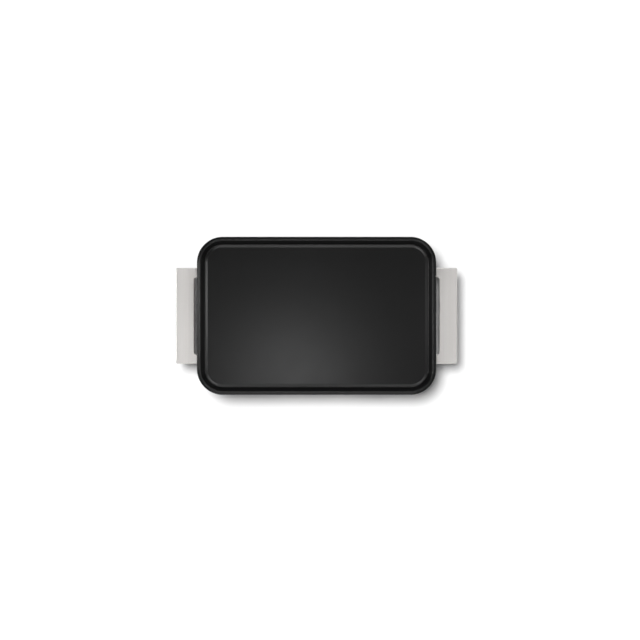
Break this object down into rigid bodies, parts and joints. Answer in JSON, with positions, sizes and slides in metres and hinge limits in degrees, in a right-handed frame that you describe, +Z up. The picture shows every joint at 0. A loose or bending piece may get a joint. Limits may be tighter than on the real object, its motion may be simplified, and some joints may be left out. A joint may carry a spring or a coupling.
{
  "type": "electric griddle",
  "caption": "Rectangular electric table griddle: a lift-off non-stick cast plate with a raised rim, on a heated housing with flat steel side handles, a front dial and a rear mains inlet.",
  "frame": {"origin": "centre of the overall box at table level, on the plane of the feet", "axes": "+X along the griddle towards the right handle, +Y towards the rear with the mains inlet, +Z up"},
  "size_m": [0.472, 0.264, 0.08],
  "materials": {
    "nonstick_cast": "satin non-stick coating on cast aluminium",
    "housing_plastic": "fine moulded texture, heat-resistant black",
    "grip_plastic": "matte phenolic black",
    "knob_plastic": "satin",
    "brushed_stainless": "long brushed grain",
    "aluminised_sheet": "satin aluminised steel sheet",
    "heater_sheath": "heat-tinted matte sheath",
    "plated_steel": "bright zinc plate",
    "spring_wire": "drawn spring wire",
    "brass": "satin",
    "copper": "satin copper",
    "ceramic_white": "matte steatite",
    "nylon_white": "matte",
    "silicone_red": "matte silicone",
    "rubber_black": "matte",
    "lens_amber": "gloss",
    "dial_ink": "screen-printed ink",
    "pointer_white": "gloss",
    "wire_brown": "satin insulation",
    "wire_blue": "satin insulation",
    "wire_green": "satin insulation",
    "wire_red": "satin insulation",
    "wire_grey": "satin insulation"
  },
  "bodies": {
    "base": {"base_housing": "housing_plastic", "bottom_cover": "housing_plastic", "reflector_tray": "aluminised_sheet", "plate_pads": "silicone_red", "heater_element": "heater_sheath", "heater_supports": "aluminised_sheet", "heater_flanges": "plated_steel", "heater_insulators": "ceramic_white", "heater_pins": "plated_steel", "sensor_guide": "plated_steel", "sensor_spring": "spring_wire", "capillary_tube": "copper", "thermostat_block": "ceramic_white", "thermostat_frame": "plated_steel", "thermostat_bush": "brass", "thermostat_capsule": "copper", "thermostat_tabs": "brass", "bush_nut": "plated_steel", "fascia": "brushed_stainless", "dial_marks": "dial_ink", "indicator_lens": "lens_amber", "indicator_lamp": "nylon_white", "thermal_fuse": "ceramic_white", "fuse_bracket": "aluminised_sheet", "terminal_block": "nylon_white", "terminal_screws": "brass", "earth_stud": "brass", "inlet_socket": "housing_plastic", "inlet_pins": "plated_steel", "inlet_screws": "plated_steel", "wire_live": "wire_brown", "wire_neutral": "wire_blue", "wire_earth": "wire_green", "wire_thermostat": "wire_brown", "wire_switched": "wire_red", "wire_fuse": "wire_red", "wire_heater_front": "wire_red", "wire_heater_rear": "wire_blue", "wire_lamp": "wire_grey", "tab_connectors": "plated_steel", "handle_cover_left": "brushed_stainless", "handle_cover_right": "brushed_stainless", "handle_grip_left": "grip_plastic", "handle_grip_right": "grip_plastic", "handle_bolts": "plated_steel", "handle_inserts": "brass", "foot_front_left": "rubber_black", "foot_front_right": "rubber_black", "foot_rear_left": "rubber_black", "foot_rear_right": "rubber_black", "foot_screws": "plated_steel", "cover_screws": "plated_steel", "tray_screws": "plated_steel"},
    "griddle_plate": {"griddle_plate": "nonstick_cast"},
    "temperature_knob": {"temperature_knob": "knob_plastic", "knob_pointer": "pointer_white", "knob_clip": "spring_wire", "control_spindle": "plated_steel"},
    "sensor": {"sensor_cup": "aluminised_sheet", "sensor_bulb": "copper"}
  },
  "joints": [
    {"name": "plate_lift", "type": "slide", "parent": "base", "child": "griddle_plate", "axis": [0, 0, 1], "range_m": [0, 0.1]},
    {"name": "knob_turn", "type": "hinge", "parent": "base", "child": "temperature_knob", "pos_m": [0, -0.112, 0.034], "axis": [0, 1, 0], "range_deg": [0, 270]},
    {"name": "sensor_press", "type": "slide", "parent": "base", "child": "sensor", "axis": [0, 0, 1], "range_m": [-0.0025, 0], "stiffness_N_per_m": 300, "springref_m": 0.002, "deforming": ["sensor_spring"]}
  ]
}
